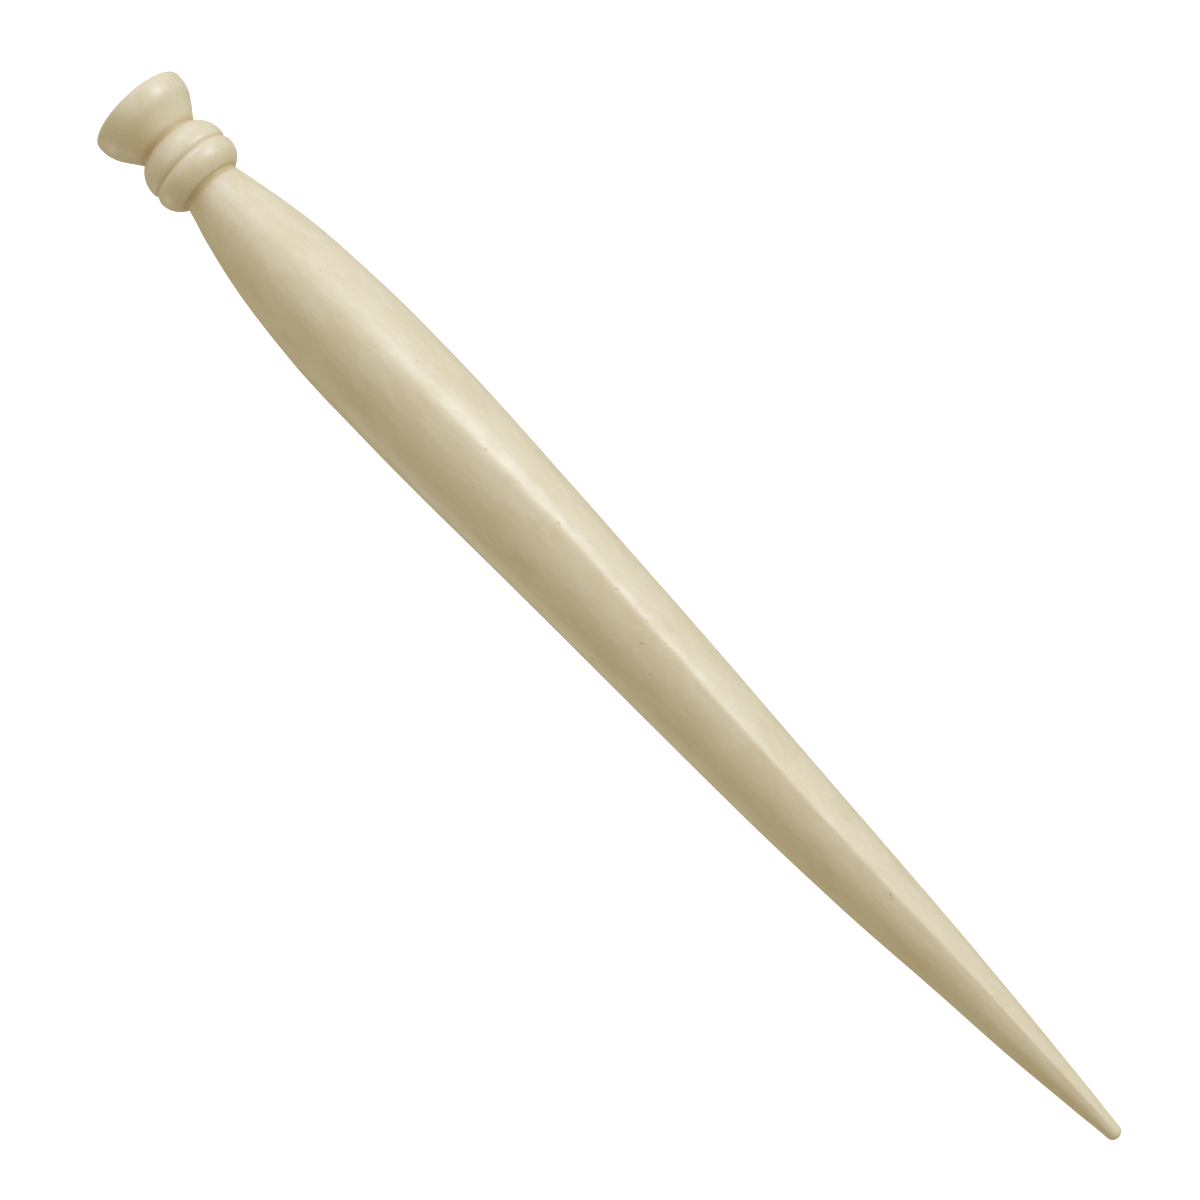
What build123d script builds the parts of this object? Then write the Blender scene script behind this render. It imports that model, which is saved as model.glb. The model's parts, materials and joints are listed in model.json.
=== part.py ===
from build123d import *
from math import cos, pi, radians, sin
import os

# Drop spindle shaft of polished bone, carved in one piece. It lies on its side: +X runs along the
# shaft from the flat face of the head to the blunt tip, +Z is up, and the origin is the middle of
# the bottom of its box. All sizes are in millimetres.

LENGTH = 160.0
AXIS_HEIGHT = 6.72  # half the belly's height, so that the belly touches the ground

# Head: a flared cup with a flat end face. "Along" is always measured from that face.
HEAD_RADIUS = 6.07
RIM_ROUNDING = 0.55
RIM_BAND = 0.33
HEAD_SIDE_RADIUS = 3.65
HEAD_SIDE_TURN = 35.0
HEAD_SIDEWAYS = 0.08

# Necks and ring beads, as (along, radius).
FIRST_NECK = (5.53, 3.64)
FIRST_RING_CREST = (8.32, 5.27)
RING_GROOVE = (9.00, 4.92)
SECOND_RING_CREST = (9.90, 5.32)
SECOND_NECK = (12.25, 3.06)

# Body, from the second neck to the start of the rounded tip. Each row is a cross-section: along,
# half the width across the flats, squareness (0 is a circle, 1 has sharp ridges), how far the hand
# carving leaves it off the axis along Y, and how far it is turned about the shaft, in degrees.
BODY = [
    (11.20, 3.21, 0.00, 0.08, 0.0),
    (20.70, 5.30, 0.35, -0.05, 14.0),
    (32.00, 6.41, 0.55, -0.12, 14.0),
    (45.50, 6.70, 0.60, 0.00, 9.0),
    (65.80, 6.24, 0.70, 0.04, 2.0),
    (88.20, 5.46, 0.78, -0.09, 3.0),
    (110.80, 4.54, 0.84, -0.26, 4.0),
    (122.00, 3.93, 0.86, -0.15, 4.0),
    (133.30, 3.14, 0.88, 0.10, 3.0),
    (144.60, 2.30, 0.88, 0.21, 4.0),
    (155.90, 1.25, 0.75, 0.44, 8.0),
    (160.00, 0.90, 0.00, 0.50, 8.0),
]

TIP_ROUNDING = 0.8

# Each of the four soft sides of a cross-section turns through twice this angle, and each ridge
# through the rest of a quarter turn.
SIDE_HALF_TURN = 32.0


def section_plane(along, sideways, turn):
    """The plane square to the shaft at this distance from the head face."""
    across = (0, cos(radians(turn)), sin(radians(turn)))
    return Plane(origin=(along - LENGTH / 2, sideways, AXIS_HEIGHT), x_dir=across, z_dir=(1, 0, 0))


def draw_soft_square(half_width, squareness):
    """A smooth closed curve of four convex sides joined by four rounded ridges."""
    turn = radians(SIDE_HALF_TURN)
    side_radius = half_width / (1 - squareness * (cos(turn) - sin(turn)))
    ridge_radius = side_radius * (1 - squareness)
    ridge_centre = Vector(1, 1) * (side_radius - ridge_radius) * sin(turn)
    ridge = [ridge_centre + Vector(cos(t), sin(t)) * ridge_radius for t in (turn, pi / 4, pi / 2 - turn)]
    side_centre = Vector(half_width - side_radius, 0)
    side = [side_centre + Vector(cos(t), sin(t)) * side_radius for t in (-turn / 2, 0, turn / 2)]
    quarter = side + ridge
    Spline([p.rotate(Axis.Z, 90 * k) for k in range(4) for p in quarter], periodic=True)


turned_plane = Plane(
    origin=(-LENGTH / 2, HEAD_SIDEWAYS, AXIS_HEIGHT), x_dir=(1, 0, 0), z_dir=(0, -1, 0)
)

with BuildPart() as spindle:
    # Turned end: head, first neck, two ring beads with a groove between them, second neck.
    with BuildSketch(turned_plane):
        with BuildLine():
            face_edge = (0, HEAD_RADIUS - RIM_ROUNDING)
            rim = (RIM_ROUNDING, HEAD_RADIUS)
            Line((0, 0), face_edge)
            TangentArc(face_edge, rim, tangent=(0, 1))
            band = Line(rim, (RIM_ROUNDING + RIM_BAND, HEAD_RADIUS))
            flare = JernArc(band @ 1, (1, 0), HEAD_SIDE_RADIUS, -HEAD_SIDE_TURN)
            Line(flare @ 1, FIRST_NECK)
            TangentArc(FIRST_RING_CREST, FIRST_NECK, tangent=(-1, 0))
            TangentArc(FIRST_RING_CREST, RING_GROOVE, tangent=(1, 0))
            TangentArc(SECOND_RING_CREST, RING_GROOVE, tangent=(-1, 0))
            TangentArc(SECOND_RING_CREST, SECOND_NECK, tangent=(1, 0))
            Line(SECOND_NECK, (SECOND_NECK[0], 0))
            Line((SECOND_NECK[0], 0), (0, 0))
        make_face()
    revolve(axis=Axis(turned_plane.origin, (1, 0, 0)))

    # Carved body: round at the neck, then softly four-sided to the tip.
    for along, half_width, squareness, sideways, turn in BODY:
        with BuildSketch(section_plane(along, sideways, turn)):
            with BuildLine():
                draw_soft_square(half_width, squareness)
            make_face()
    loft()

    # Blunt tip.
    fillet(spindle.edges().group_by(Axis.X)[-1], radius=TIP_ROUNDING)

spindle.part.label = "spindle"

os.makedirs("parts", exist_ok=True)
export_step(spindle.part, "parts/spindle.step")
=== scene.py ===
import bmesh
import bpy
import json
import math
import numpy as np
from mathutils import Matrix, Vector, noise


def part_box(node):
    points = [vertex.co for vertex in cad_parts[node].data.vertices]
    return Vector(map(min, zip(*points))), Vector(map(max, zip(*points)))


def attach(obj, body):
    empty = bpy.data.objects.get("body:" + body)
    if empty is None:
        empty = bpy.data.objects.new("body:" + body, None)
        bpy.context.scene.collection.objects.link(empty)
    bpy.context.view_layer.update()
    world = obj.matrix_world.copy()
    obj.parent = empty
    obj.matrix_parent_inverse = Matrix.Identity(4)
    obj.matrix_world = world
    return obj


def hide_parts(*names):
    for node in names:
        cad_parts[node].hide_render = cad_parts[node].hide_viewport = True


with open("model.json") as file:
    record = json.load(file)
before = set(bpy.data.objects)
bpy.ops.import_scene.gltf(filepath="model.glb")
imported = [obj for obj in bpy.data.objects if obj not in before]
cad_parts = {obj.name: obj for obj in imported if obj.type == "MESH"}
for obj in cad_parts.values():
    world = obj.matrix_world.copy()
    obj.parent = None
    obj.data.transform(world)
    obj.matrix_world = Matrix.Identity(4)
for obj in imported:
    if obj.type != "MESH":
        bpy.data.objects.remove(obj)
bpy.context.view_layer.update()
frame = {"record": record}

# Drop spindle shaft of polished bone, in one carved piece, lying on a pale floor.
# Lengths are in millimetres where they repeat the CAD model's dimensions, and MM turns them to metres.

MM = 0.001
SPINDLE_LOW, SPINDLE_HIGH = (Vector(corner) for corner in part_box("spindle"))
LENGTH = (SPINDLE_HIGH.x - SPINDLE_LOW.x) / MM
HEAD_FACE_X = SPINDLE_LOW.x
AXIS_HEIGHT = frame["record"]["mounts"][0]["pos_m"][2] / MM

# Head and ring beads of the turned end, as in the CAD model; "along" starts at the head's face.
HEAD_RADIUS = 6.07
RIM_ROUNDING = 0.55
RIM_BAND = 0.33
HEAD_SIDE_RADIUS = 3.65
HEAD_SIDE_TURN = math.radians(35.0)
HEAD_SIDEWAYS = 0.08
FIRST_NECK = (5.53, 3.64)
FIRST_RING_CREST = (8.32, 5.27)
RING_GROOVE = (9.00, 4.92)
SECOND_RING_CREST = (9.90, 5.32)
SECOND_NECK = (12.25, 3.06)

# Body, each row: along, half width across flats, squareness, sideways, turn in degrees.
BODY = [
    (11.20, 3.21, 0.00, 0.08, 0.0),
    (20.70, 5.30, 0.35, -0.05, 14.0),
    (32.00, 6.41, 0.55, -0.12, 14.0),
    (45.50, 6.70, 0.60, 0.00, 9.0),
    (65.80, 6.24, 0.70, 0.04, 2.0),
    (88.20, 5.46, 0.78, -0.09, 3.0),
    (110.80, 4.54, 0.84, -0.26, 4.0),
    (122.00, 3.93, 0.86, -0.15, 4.0),
    (133.30, 3.14, 0.88, 0.10, 3.0),
    (144.60, 2.30, 0.88, 0.21, 4.0),
    (155.90, 1.25, 0.75, 0.44, 8.0),
    (160.00, 0.90, 0.00, 0.50, 8.0),
]
ALONG, HALF_WIDTH, SQUARENESS, SIDEWAYS, TURN = range(5)
MOST_SQUARE = max(row[SQUARENESS] for row in BODY)
TIP_ROUNDING = 0.8
SIDE_HALF_TURN = math.radians(32.0)

# The section is round up to BODY_START and fully the body's own BODY_BLEND further on. The ridges die
# away over the last TIP_FADE.
BODY_START = 13.0
BODY_BLEND = 3.0
TIP_FADE = 4.0

# How many points draw each stretch of the outline, before the rings of the mesh are spaced along it.
RIM_POINTS = 12
FLARE_POINTS = 24
NECK_ARC_POINTS = 30
GROOVE_ARC_POINTS = 12
BODY_POINTS = 900
TIP_POINTS = 16

# Mesh density. The step from ring to ring is short on the turned end, at the nicks and at the tip, and
# grows from the turned end's to the body's over STEP_GROWTH. On the flat face, which is what lies nearer
# than ON_FACE, it is FACE_STEP out to FACE_STEP_RADIUS.
POINTS_AROUND = 120
ON_FACE = 1e-6
FACE_STEP = 0.35
FACE_STEP_RADIUS = 4.9
TURNED_STEP = 0.105
BODY_STEP = 0.42
STEP_GROWTH = 4.0
NICK_STEP = 0.08
NICK_REACH = 0.3
NICK_STEP_SLOPE = 0.40
TIP_STEP = 0.06
TIP_STRETCH = 2.0

# The turned end's sharp edges and creases are softened, from just behind the face to just past the
# second neck.
CREASE_SOFTNESS = 0.09
SOFTENED_STRETCH = (0.02, 14.0)

# Where the necks and the groove count as creases, into which the material paints shade, and how far below
# its surroundings the surface is at the bottom of a full crease.
CREASED_STRETCH = (2.0, 16.0)
CREASE_SURROUNDINGS = 0.9
CREASE_DEPTH = 0.35

# Small hand-made unevenness, each row: height, length of its features, how many around, seed.
TURNED_WAVES = [(0.035, 1.6, 0.8, 3.0), (0.0175, 0.9, 2.5, 9.0)]
BODY_WAVES = [(0.030, 14.0, 1.6, 0.0), (0.010, 2.2, 2.2, 5.0)]

# The unevenness grows from nothing at the face's edge over FACE_FADE. It is at its full height where the
# half width is WAVES_FULL_WIDTH, and there is none where it is under WAVES_LEAST_WIDTH.
FACE_FADE = 0.5
WAVES_FULL_WIDTH = 2.0
WAVES_LEAST_WIDTH = 0.4

# Nicks across the ridges, each row: along, angle around in degrees, half length, half width, depth.
NICKS = [
    (34.0, 48.0, 0.16, 0.34, 0.050),
    (39.2, 46.0, 0.13, 0.42, 0.060),
    (55.5, 44.0, 0.14, 0.40, 0.060),
    (60.5, 45.0, 0.12, 0.30, 0.050),
    (66.9, 44.0, 0.15, 0.42, 0.070),
    (76.6, 46.0, 0.14, 0.36, 0.060),
    (81.4, 44.0, 0.12, 0.32, 0.050),
    (84.6, 46.0, 0.12, 0.30, 0.050),
    (86.2, 45.0, 0.12, 0.26, 0.040),
    (112.6, 45.0, 0.12, 0.26, 0.050),
    (126.0, 46.0, 0.12, 0.24, 0.040),
    (47.0, 136.0, 0.15, 0.40, 0.060),
    (71.5, 134.0, 0.14, 0.36, 0.050),
    (98.0, 136.0, 0.12, 0.30, 0.050),
    (40.5, 226.0, 0.14, 0.40, 0.060),
    (79.0, 224.0, 0.13, 0.34, 0.050),
    (117.0, 226.0, 0.12, 0.26, 0.040),
    (52.0, 316.0, 0.15, 0.38, 0.060),
    (90.5, 314.0, 0.13, 0.32, 0.050),
]
NICK_CUTOFF = 4  # half lengths from its middle, past which a nick has no depth left
NICK_ARC = 0.5  # length of surface per radian at a ridge, as a share of the half width

# Bone colours and a painted crease shade, and the materials' pattern sizes in millimetres along, across
# and up.
IVORY = (0.745, 0.665, 0.485)
WARM_IVORY = (0.700, 0.590, 0.385)
PALE_IVORY = (0.790, 0.735, 0.580)
GRAIN_BROWN = (0.650, 0.550, 0.370)
# Painted shade: the creases of the turned end are tinted towards this darker yellow.
CREASE_PAINTED_SHADE = (0.560, 0.420, 0.200)
PORE_BROWN = (0.160, 0.110, 0.060)
WARM_PATCH = (6, 2.5, 2.5)
PALE_PATCH = (1.6, 0.9, 0.9)
GRAIN_STREAK = (5, 0.22, 0.22)
PORE_SPACING = (5.0, 2.2, 2.2)
SHEEN_PATCH = (3.0, 1.2, 1.2)
POLISH_STREAK = (1.2, 0.10, 0.10)
MIX_COLOUR_OUTPUT = 2  # the mix node's colour, among its outputs of the same name

# The stage, in metres.
FLOOR_HALF_SIZE = 3.0
DOME_RADIUS = 5.0
DOME_SEGMENTS = 48
DOME_RINGS = 24

# The camera looks down steeply, leaning towards +Y, and is rolled so that the shaft runs corner to corner.
CAMERA_LEAN = math.radians(25.0)
CAMERA_ROLL = math.radians(46.46)
CAMERA_DISTANCE = 0.2402
CAMERA_LENS = 64.0
CAMERA_NEAREST = 0.01
SHAFT_WAY = Vector((1, 0, 0))
SIDE_WAY = Vector((0, math.cos(CAMERA_LEAN), -math.sin(CAMERA_LEAN)))
CAMERA_WAY = Vector((0, math.sin(CAMERA_LEAN), math.cos(CAMERA_LEAN)))
LOOK_AT_X = -0.00392
LOOK_AT_ASIDE = 0.18
LOOK_AT = Vector((LOOK_AT_X, 0, AXIS_HEIGHT * MM)) - SIDE_WAY * LOOK_AT_ASIDE * MM

# Soft boxes, each row: name, degrees from the camera's way across towards +Y, degrees towards the head,
# power in watts, colour. The first two are low, the third is above and towards the head, and the last is
# level from -Y.
SOFTBOX_DISTANCE = 0.6
SOFTBOX_SIZE = 0.25
SOFTBOXES = [
    ("side", 58, 0, 1.98, (0.91, 1.0, 1.17)),
    ("head_side", 40, 55, 0.82, (0.87, 1.0, 1.48)),
    ("fill", -20, 30, 0.33, (1.0, 0.95, 0.85)),
    ("back", -115, 0, 0.32, (0.96, 1.0, 1.05)),
]
SURROUND_COLOUR = (1.0, 0.90, 0.62, 1)
SURROUND_STRENGTH = 0.424


def arc_below_crest(crest, end, count):
    """Points of the arc that is level at the crest and passes through the end, from crest to end."""
    run = end[0] - crest[0]
    drop = crest[1] - end[1]
    radius = (run * run + drop * drop) / (2 * drop)
    turns = np.linspace(0, math.asin(run / radius), count)
    return [(crest[0] + radius * math.sin(t), crest[1] - radius * (1 - math.cos(t))) for t in turns]


def turned_outline():
    """(along, radius) from the middle of the head's face to the second neck."""
    rim_start = HEAD_RADIUS - RIM_ROUNDING
    points = [(0.0, 0.0), (0.0, rim_start)]
    for turn in np.linspace(0, math.pi / 2, RIM_POINTS)[1:]:
        points.append((RIM_ROUNDING * (1 - math.cos(turn)), rim_start + RIM_ROUNDING * math.sin(turn)))
    flare_start = RIM_ROUNDING + RIM_BAND
    for turn in np.linspace(0, HEAD_SIDE_TURN, FLARE_POINTS):
        along = flare_start + HEAD_SIDE_RADIUS * math.sin(turn)
        points.append((along, HEAD_RADIUS - HEAD_SIDE_RADIUS * (1 - math.cos(turn))))
    points += arc_below_crest(FIRST_RING_CREST, FIRST_NECK, NECK_ARC_POINTS)[::-1]
    points += arc_below_crest(FIRST_RING_CREST, RING_GROOVE, GROOVE_ARC_POINTS)[1:]
    points += arc_below_crest(SECOND_RING_CREST, RING_GROOVE, GROOVE_ARC_POINTS)[::-1][1:]
    points += arc_below_crest(SECOND_RING_CREST, SECOND_NECK, NECK_ARC_POINTS)[1:]
    return points


def body_curve(column, along):
    """A smooth curve through one column of the body's rows, by cubic pieces with averaged slopes."""
    x = np.array([row[ALONG] for row in BODY])
    y = np.array([row[column] for row in BODY])
    gap = np.diff(x)
    secant = np.diff(y) / gap
    slope = np.empty_like(y)
    slope[1:-1] = (secant[:-1] * gap[1:] + secant[1:] * gap[:-1]) / (gap[1:] + gap[:-1])
    slope[0] = 2 * secant[0] - slope[1]
    slope[-1] = 2 * secant[-1] - slope[-2]
    k = np.clip(np.searchsorted(x, along, side="right") - 1, 0, len(x) - 2)
    t = (along - x[k]) / gap[k]
    start = y[k] * (1 + 2 * t) * (1 - t) ** 2 + slope[k] * gap[k] * t * (1 - t) ** 2
    end = y[k + 1] * (3 - 2 * t) * t**2 + slope[k + 1] * gap[k] * (t - 1) * t**2
    return start + end


def ring_step(along, radius):
    """Distance along the outline from the ring at this place to the next one."""
    if along < ON_FACE:
        return FACE_STEP if radius < FACE_STEP_RADIUS else TURNED_STEP
    if along > LENGTH - TIP_STRETCH:
        return TIP_STEP
    grown = TURNED_STEP + (BODY_STEP - TURNED_STEP) * (along - BODY_START) / STEP_GROWTH
    past_nick = min(abs(along - nick[0]) for nick in NICKS) - NICK_REACH
    fine = NICK_STEP + NICK_STEP_SLOPE * max(0.0, past_nick)
    return min(max(TURNED_STEP, min(grown, BODY_STEP)), fine)


def spaced_rings(points):
    """(along, radius, place on the line) of the mesh's rings on a line of (along, radius) points."""
    points = np.array(points)
    lengths = np.concatenate([[0], np.cumsum(np.hypot(*np.diff(points, axis=0).T))])
    places = [0.0]
    while places[-1] < lengths[-1]:
        along = np.interp(places[-1], lengths, points[:, 0])
        radius = np.interp(places[-1], lengths, points[:, 1])
        places.append(places[-1] + ring_step(along, radius))
    places = np.array(places) * lengths[-1] / places[-1]
    return np.interp(places, lengths, points[:, 0]), np.interp(places, lengths, points[:, 1]), places


def softened(values, places, softness):
    """Each value averaged with its neighbours, with a weight that fades over the softness."""
    result = values.copy()
    for k, place in enumerate(places):
        near = np.abs(places - place) < 3 * softness
        weight = np.exp(-0.5 * ((places[near] - place) / softness) ** 2)
        result[k] = np.sum(weight * values[near]) / np.sum(weight)
    return result


def whole_outline():
    """(along, half width, place on the line) of each ring, from the middle of the face to the tip."""
    # The turned end is left where its last arc dips under the body.
    turned = turned_outline()
    last_arc = [k for k, point in enumerate(turned) if point[0] > SECOND_RING_CREST[0]]
    meets = next(k for k in last_arc if turned[k][1] < body_curve(HALF_WIDTH, turned[k][0]))
    points = turned[:meets]
    body_along = np.linspace(BODY[0][ALONG], LENGTH - TIP_ROUNDING, BODY_POINTS)
    body_width = body_curve(HALF_WIDTH, body_along)
    points += [(a, w) for a, w in zip(body_along, body_width) if a > turned[meets][0]]

    # The rounded tip.
    tip_start = points[-1]
    flat_radius = tip_start[1] - TIP_ROUNDING
    for turn in np.linspace(0, math.pi / 2, TIP_POINTS)[1:]:
        along = tip_start[0] + TIP_ROUNDING * math.sin(turn)
        points.append((along, flat_radius + TIP_ROUNDING * math.cos(turn)))
    points.append((LENGTH, 0.0))

    along, width, places = spaced_rings(points)
    turned_side = (along > SOFTENED_STRETCH[0]) & (along < SOFTENED_STRETCH[1])
    smooth_along = softened(along, places, CREASE_SOFTNESS)
    smooth_width = softened(width, places, CREASE_SOFTNESS)
    return np.where(turned_side, smooth_along, along), np.where(turned_side, smooth_width, width), places


def soft_square(half_width, squareness, angles):
    """Points (across, up) of the body's section at these angles of its outward normal."""
    side_radius = half_width / (1 - squareness * (math.cos(SIDE_HALF_TURN) - math.sin(SIDE_HALF_TURN)))
    ridge_radius = side_radius * (1 - squareness)
    ridge_centre = (side_radius - ridge_radius) * math.sin(SIDE_HALF_TURN)
    turn = np.round(angles / (math.pi / 2)) * math.pi / 2
    rest = angles - turn
    on_side = np.abs(rest) <= SIDE_HALF_TURN
    side_x = half_width - side_radius + side_radius * np.cos(rest)
    side_y = side_radius * np.sin(rest)
    ridge_x = ridge_centre + ridge_radius * np.cos(rest)
    ridge_y = np.sign(rest) * ridge_centre + ridge_radius * np.sin(rest)
    x = np.where(on_side, side_x, ridge_x)
    y = np.where(on_side, side_y, ridge_y)
    return x * np.cos(turn) - y * np.sin(turn), x * np.sin(turn) + y * np.cos(turn)


def wander(along, angle, length, around, seed):
    """Soft noise from -1 to 1 on the shaft's surface, with features of that length and so many around."""
    spot = (along / length, around * math.cos(angle), around * math.sin(angle) + seed)
    return noise.noise(Vector(spot))


def unevenness(along, width, angle):
    """Height of the hand-made surface above the ideal one, in millimetres."""
    if width < WAVES_LEAST_WIDTH:
        return 0.0
    height = 0.0
    if along < BODY_START:
        for size, length, around, seed in TURNED_WAVES:
            height += size * wander(along, angle, length, around, seed) * min(1.0, along / FACE_FADE)
    else:
        for size, length, around, seed in BODY_WAVES:
            height += size * wander(along, angle, length, around, seed)
    for at, around, half_length, half_width, depth in NICKS:
        if abs(along - at) <= NICK_CUTOFF * half_length:
            across = math.remainder(angle - math.radians(around), math.tau) * NICK_ARC * width
            lengthwise = (along - at) / half_length
            height -= depth * math.exp(-(lengthwise**2) - (across / half_width) ** 2)
    return height * min(1.0, width / WAVES_FULL_WIDTH)


def shaft_points(along, width):
    """Every point of the rings between the face's middle and the tip's middle, then those two."""
    on_body = np.clip((along - BODY_START) / BODY_BLEND, 0, 1)
    on_body = on_body * on_body * (3 - 2 * on_body)
    near_tip = np.clip((LENGTH - along) / TIP_FADE, 0, 1)
    inside_body = np.clip(along, BODY[0][ALONG], LENGTH)
    squareness = np.clip(body_curve(SQUARENESS, inside_body), 0, MOST_SQUARE) * on_body * near_tip
    sideways = HEAD_SIDEWAYS + (body_curve(SIDEWAYS, inside_body) - HEAD_SIDEWAYS) * on_body
    turns = np.radians(body_curve(TURN, inside_body)) * on_body

    points = []
    angles = np.arange(POINTS_AROUND) * math.tau / POINTS_AROUND
    for k in range(1, len(along) - 1):
        across, up = soft_square(width[k], squareness[k], angles)
        for j, angle in enumerate(angles):
            raised = 1 + unevenness(along[k], width[k], angle) / width[k]
            a, u = across[j] * raised, up[j] * raised
            y = sideways[k] + a * math.cos(turns[k]) - u * math.sin(turns[k])
            z = AXIS_HEIGHT + a * math.sin(turns[k]) + u * math.cos(turns[k])
            points.append((HEAD_FACE_X + along[k] * MM, y * MM, z * MM))
    points.append((HEAD_FACE_X, HEAD_SIDEWAYS * MM, AXIS_HEIGHT * MM))
    points.append((HEAD_FACE_X + LENGTH * MM, sideways[-1] * MM, AXIS_HEIGHT * MM))
    return points


def shaft_faces(rings):
    """Quads from ring to ring, and a fan of triangles to the middle of each end."""
    faces = []
    for k in range(rings - 1):
        for j in range(POINTS_AROUND):
            here = k * POINTS_AROUND + j
            beside = k * POINTS_AROUND + (j + 1) % POINTS_AROUND
            faces.append((here, beside, beside + POINTS_AROUND, here + POINTS_AROUND))
    last = (rings - 1) * POINTS_AROUND
    face_middle = rings * POINTS_AROUND
    tip_middle = face_middle + 1
    for j in range(POINTS_AROUND):
        beside = (j + 1) % POINTS_AROUND
        faces.append((face_middle, beside, j))
        faces.append((tip_middle, last + j, last + beside))
    return faces


def crease_depths(along, width, places):
    """How deep each ring lies in a neck or groove, from 0 to 1."""
    surroundings = softened(width, places, CREASE_SURROUNDINGS)
    depths = np.clip((surroundings - width) / CREASE_DEPTH, 0, 1)
    depths[(along < CREASED_STRETCH[0]) | (along > CREASED_STRETCH[1])] = 0
    return depths


def make_shaft():
    """The whole bone shaft as one closed mesh, with its crease depths as an attribute for the painted
    crease shade.
    """
    along, width, places = whole_outline()
    mesh = bpy.data.meshes.new("spindle_shaft")
    mesh.from_pydata(shaft_points(along, width), [], shaft_faces(len(along) - 2))
    mesh.polygons.foreach_set("use_smooth", [True] * len(mesh.polygons))
    crease = mesh.attributes.new("crease", "FLOAT", "POINT")
    depths = crease_depths(along, width, places)
    crease.data.foreach_set("value", np.repeat(depths[1:-1], POINTS_AROUND).tolist() + [0.0, 0.0])
    mesh.update()
    shaft = bpy.data.objects.new("spindle_shaft", mesh)
    bpy.context.collection.objects.link(shaft)
    return shaft


def link(tree, source, output, target, name):
    tree.links.new(source.outputs[output], target.inputs[name])


def pattern_node(tree, kind, coordinates, size):
    """A texture node of this kind whose features are about this size, in millimetres, along each axis."""
    mapping = tree.nodes.new("ShaderNodeMapping")
    mapping.inputs["Scale"].default_value = tuple(1 / (MM * s) for s in size)
    link(tree, coordinates, "Object", mapping, "Vector")
    texture = tree.nodes.new(kind)
    texture.inputs["Scale"].default_value = 1.0
    link(tree, mapping, "Vector", texture, "Vector")
    return texture


def noise_node(tree, coordinates, size, detail):
    texture = pattern_node(tree, "ShaderNodeTexNoise", coordinates, size)
    texture.inputs["Detail"].default_value = detail
    return texture


def ramp_node(tree, source, output, low, high, low_value, high_value):
    """A soft ramp from the low value, where the source is low, to the high value, where it is high."""
    ranged = tree.nodes.new("ShaderNodeMapRange")
    ranged.interpolation_type = "SMOOTHSTEP"
    ranged.inputs["From Min"].default_value = low
    ranged.inputs["From Max"].default_value = high
    ranged.inputs["To Min"].default_value = low_value
    ranged.inputs["To Max"].default_value = high_value
    link(tree, source, output, ranged, "Value")
    return ranged


def tint_node(tree, under, colour, amount):
    """What is under it, a plain colour or another tint, mixed with this colour by an amount."""
    mix = tree.nodes.new("ShaderNodeMix")
    mix.data_type = "RGBA"
    sockets = {(socket.name, socket.type): socket for socket in mix.inputs}
    sockets["B", "RGBA"].default_value = (*colour, 1)
    if isinstance(under, tuple):
        sockets["A", "RGBA"].default_value = (*under, 1)
    else:
        tree.links.new(under.outputs[MIX_COLOUR_OUTPUT], sockets["A", "RGBA"])
    tree.links.new(amount.outputs["Result"], sockets["Factor", "VALUE"])
    return mix


def bump_node(tree, source, output, strength, distance):
    """A bump of this distance, in millimetres, from the source's output."""
    bump = tree.nodes.new("ShaderNodeBump")
    bump.inputs["Strength"].default_value = strength
    bump.inputs["Distance"].default_value = distance * MM
    link(tree, source, output, bump, "Height")
    return bump


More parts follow.
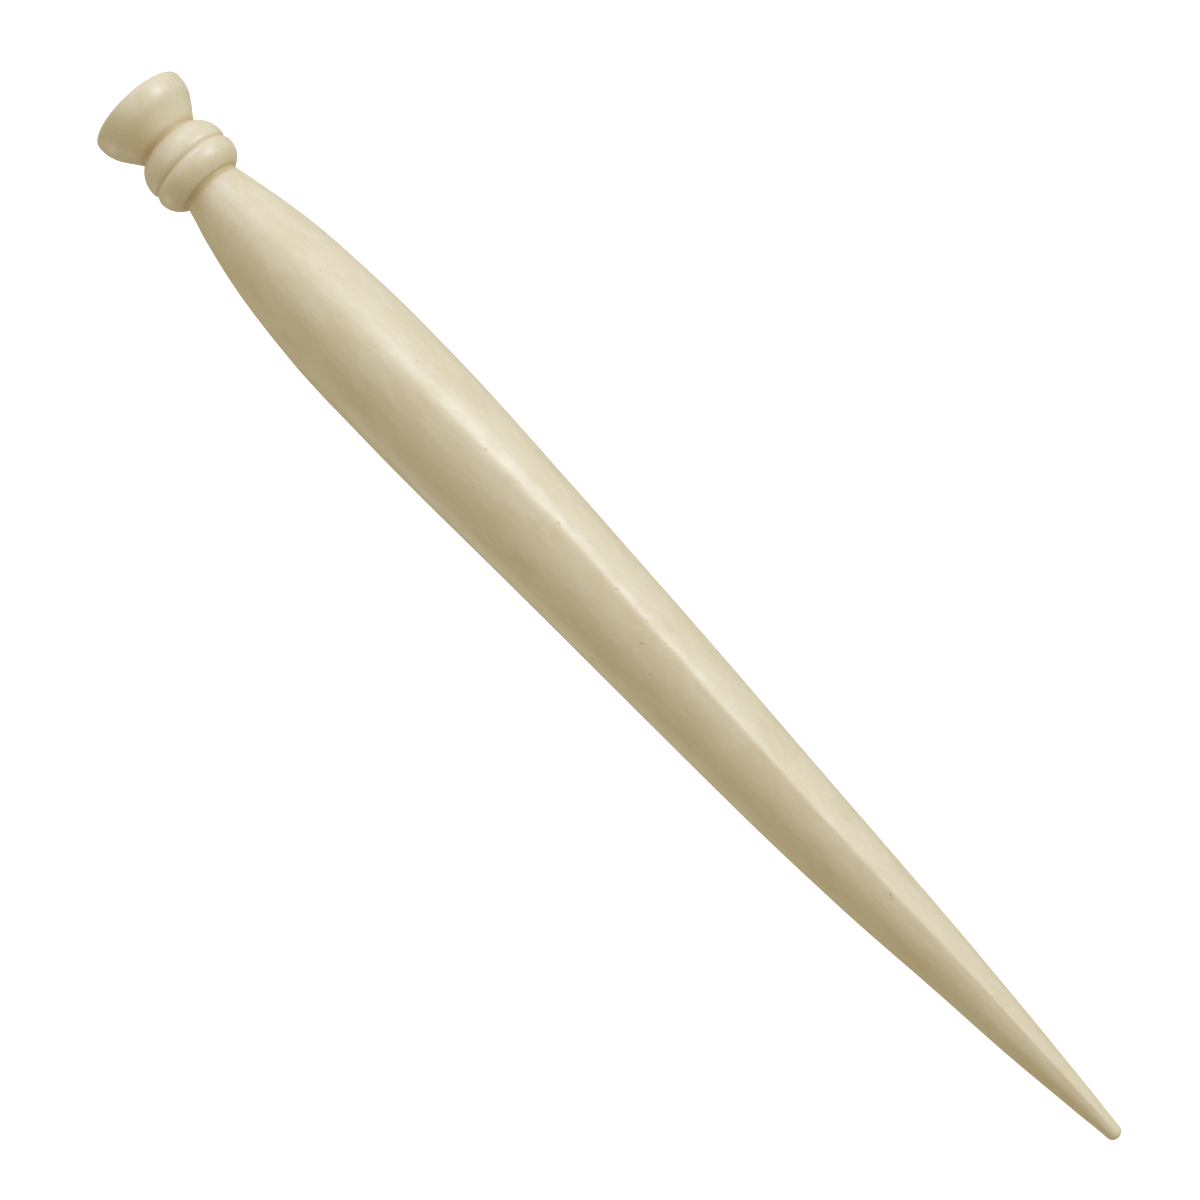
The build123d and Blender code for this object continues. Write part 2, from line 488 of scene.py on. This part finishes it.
def bone_material():
    """Satin-polished bone: ivory with warm and pale mottling, fine grain along the shaft, rare pores,
    painted crease shade.
    """
    material = bpy.data.materials.new("polished_bone")
    material.use_nodes = True
    tree = material.node_tree
    shader = tree.nodes["Principled BSDF"]
    coordinates = tree.nodes.new("ShaderNodeTexCoord")

    # Colour, with shade painted into the creases.
    warm = ramp_node(tree, noise_node(tree, coordinates, WARM_PATCH, 4), "Fac", 0.40, 0.68, 0, 0.55)
    pale = ramp_node(tree, noise_node(tree, coordinates, PALE_PATCH, 3), "Fac", 0.50, 0.72, 0, 0.35)
    grain = ramp_node(tree, noise_node(tree, coordinates, GRAIN_STREAK, 3), "Fac", 0.45, 0.75, 0, 0.30)
    # Painted shade: the necks and the groove are tinted towards a darker yellow, more the deeper they lie.
    crease = tree.nodes.new("ShaderNodeAttribute")
    crease.attribute_name = "crease"
    painted_crease_shade = ramp_node(tree, crease, "Fac", 0.05, 0.9, 0, 0.65)
    pores = pattern_node(tree, "ShaderNodeTexVoronoi", coordinates, PORE_SPACING)
    in_pore = ramp_node(tree, pores, "Distance", 0.020, 0.055, 0.55, 0)
    colour = tint_node(tree, IVORY, WARM_IVORY, warm)
    colour = tint_node(tree, colour, PALE_IVORY, pale)
    colour = tint_node(tree, colour, GRAIN_BROWN, grain)
    colour = tint_node(tree, colour, CREASE_PAINTED_SHADE, painted_crease_shade)
    colour = tint_node(tree, colour, PORE_BROWN, in_pore)
    tree.links.new(colour.outputs[MIX_COLOUR_OUTPUT], shader.inputs["Base Color"])

    # Uneven gloss.
    sheen = ramp_node(tree, noise_node(tree, coordinates, SHEEN_PATCH, 3), "Fac", 0.3, 0.7, 0.40, 0.52)
    link(tree, sheen, "Result", shader, "Roughness")

    # Fine polishing streaks, and pores sunk into them.
    streak_bump = bump_node(tree, noise_node(tree, coordinates, POLISH_STREAK, 3), "Fac", 0.25, 0.006)
    pore_bump = bump_node(tree, in_pore, "Result", 0.6, 0.05)
    pore_bump.invert = True
    link(tree, streak_bump, "Normal", pore_bump, "Normal")
    link(tree, pore_bump, "Normal", shader, "Normal")

    shader.inputs["IOR"].default_value = 1.54
    shader.inputs["Subsurface Weight"].default_value = 0.12
    shader.inputs["Subsurface Radius"].default_value = (1.0, 0.7, 0.4)
    shader.inputs["Subsurface Scale"].default_value = 0.6 * MM
    shader.inputs["Coat Weight"].default_value = 0.14
    shader.inputs["Coat Roughness"].default_value = 0.22
    return material


def pale_glow():
    """A matt white that glows enough to read as pure white from every side."""
    material = bpy.data.materials.new("pale_glow")
    material.use_nodes = True
    shader = material.node_tree.nodes["Principled BSDF"]
    shader.inputs["Base Color"].default_value = (0.55, 0.55, 0.55, 1)
    shader.inputs["Roughness"].default_value = 0.9
    shader.inputs["Specular IOR Level"].default_value = 0.0
    shader.inputs["Emission Color"].default_value = (1, 1, 1, 1)
    shader.inputs["Emission Strength"].default_value = 1.0
    return material


def make_stage():
    """A wide pale floor under the spindle and a pale dome far around, which don't light or shade it."""
    floor_mesh = bpy.data.meshes.new("floor")
    size, level = FLOOR_HALF_SIZE, SPINDLE_LOW.z
    corners = [(-size, -size, level), (size, -size, level), (size, size, level), (-size, size, level)]
    floor_mesh.from_pydata(corners, [], [(0, 1, 2, 3)])
    dome_mesh = bpy.data.meshes.new("dome")
    dome = bmesh.new()
    bmesh.ops.create_uvsphere(dome, u_segments=DOME_SEGMENTS, v_segments=DOME_RINGS, radius=DOME_RADIUS)
    dome.to_mesh(dome_mesh)
    dome.free()
    glow = pale_glow()
    for mesh in (floor_mesh, dome_mesh):
        mesh.materials.append(glow)
        piece = bpy.data.objects.new(mesh.name, mesh)
        bpy.context.collection.objects.link(piece)
        piece.visible_diffuse = False
        piece.visible_glossy = False
        piece.visible_shadow = False


def facing(location, right, up, back):
    """A placement at the location, with these three directions as its own X, Y and Z."""
    turn = Matrix((right, up, back)).transposed().to_4x4()
    return Matrix.Translation(location) @ turn


def make_camera():
    right = SHAFT_WAY * math.cos(CAMERA_ROLL) + SIDE_WAY * math.sin(CAMERA_ROLL)
    up = SIDE_WAY * math.cos(CAMERA_ROLL) - SHAFT_WAY * math.sin(CAMERA_ROLL)
    camera = bpy.data.objects.new("camera", bpy.data.cameras.new("camera"))
    camera.data.lens = CAMERA_LENS
    camera.data.clip_start = CAMERA_NEAREST
    camera.matrix_world = facing(LOOK_AT + CAMERA_WAY * CAMERA_DISTANCE, right, up, CAMERA_WAY)
    bpy.context.collection.objects.link(camera)
    bpy.context.scene.camera = camera


def make_softbox(name, across, towards_head, power, colour):
    """A square area light that shines at the middle of the view from that way."""
    across, towards_head = math.radians(across), math.radians(towards_head)
    way = CAMERA_WAY * math.cos(across) + SIDE_WAY * math.sin(across)
    way = (way * math.cos(towards_head) - SHAFT_WAY * math.sin(towards_head)).normalized()
    light = bpy.data.lights.new(name, "AREA")
    light.size = SOFTBOX_SIZE
    light.energy = power
    light.color = colour
    softbox = bpy.data.objects.new(name, light)
    right = way.orthogonal().normalized()
    softbox.matrix_world = facing(LOOK_AT + way * SOFTBOX_DISTANCE, right, way.cross(right), way)
    bpy.context.collection.objects.link(softbox)


def make_surround():
    """A warm white world that fills the shadows."""
    world = bpy.data.worlds.new("warm_surround")
    world.use_nodes = True
    background = world.node_tree.nodes["Background"]
    background.inputs["Color"].default_value = SURROUND_COLOUR
    background.inputs["Strength"].default_value = SURROUND_STRENGTH
    bpy.context.scene.world = world


bpy.context.scene.view_settings.view_transform = "Standard"

shaft = make_shaft()
shaft.data.materials.append(bone_material())
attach(shaft, "root")
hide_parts("spindle")

make_stage()
for softbox in SOFTBOXES:
    make_softbox(*softbox)
make_surround()
make_camera()
